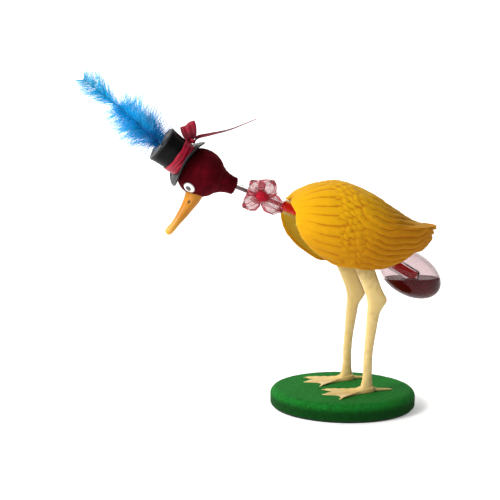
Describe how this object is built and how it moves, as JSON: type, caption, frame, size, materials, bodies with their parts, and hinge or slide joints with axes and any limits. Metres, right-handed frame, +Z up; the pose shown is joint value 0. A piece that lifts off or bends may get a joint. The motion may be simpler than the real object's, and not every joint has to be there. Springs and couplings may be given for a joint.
{
  "type": "drinking bird",
  "caption": "Glass dipping bird with a felt head, top hat, feather and yellow body shells, rocking on a steel axle between two legs on a round green base.",
  "frame": {"origin": "centre of the base's underside, where the bird stands", "axes": "+Z up, the bird faces -X and its left side is -Y"},
  "size_m": [0.1899, 0.075, 0.1721],
  "materials": {
    "base_flock": "flocked",
    "felt_pad": "felt",
    "leg_plastic": "satin moulded",
    "steel": "drawn",
    "rubber": "matt",
    "glass": "polished",
    "liquid": "clear liquid",
    "body_flock": "flocked",
    "dowel_plastic": "moulded",
    "head_felt": "flocked felt",
    "bill_plastic": "satin",
    "eye_white": "gloss",
    "pupil_black": "gloss",
    "hat_plastic": "satin",
    "ribbon": "satin weave",
    "feather": "downy",
    "netting": "sheer net",
    "bow_knot": "fluffy"
  },
  "bodies": {
    "stand": {"base": "base_flock", "base_pad": "felt_pad", "leg_left": "leg_plastic", "leg_right": "leg_plastic", "leg_screws": "steel"},
    "bird": {"pivot_axle": "steel", "pivot_clip": "steel", "stop_rod": "steel", "tube_grommets": "rubber", "neck_tube": "glass", "head_bulb": "glass", "lower_bulb": "glass", "liquid_pool": "liquid", "liquid_column": "liquid", "body_left": "body_flock", "body_right": "body_flock", "body_dowels": "dowel_plastic", "head_cover": "head_felt", "beak": "bill_plastic", "eye_left": "eye_white", "eye_right": "eye_white", "pupil_left": "pupil_black", "pupil_right": "pupil_black", "hat": "hat_plastic", "hat_band": "ribbon", "hat_bow": "ribbon", "ribbon_tail": "ribbon", "feather_quill": "feather", "feather_vane": "feather", "neck_bow": "netting", "neck_bow_knot": "bow_knot"}
  },
  "joints": [
    {"name": "rocking_axle", "type": "hinge", "parent": "stand", "child": "bird", "pos_m": [-0.0015, 0, 0.097], "axis": [0, 1, 0], "range_deg": [0, 36]}
  ]
}
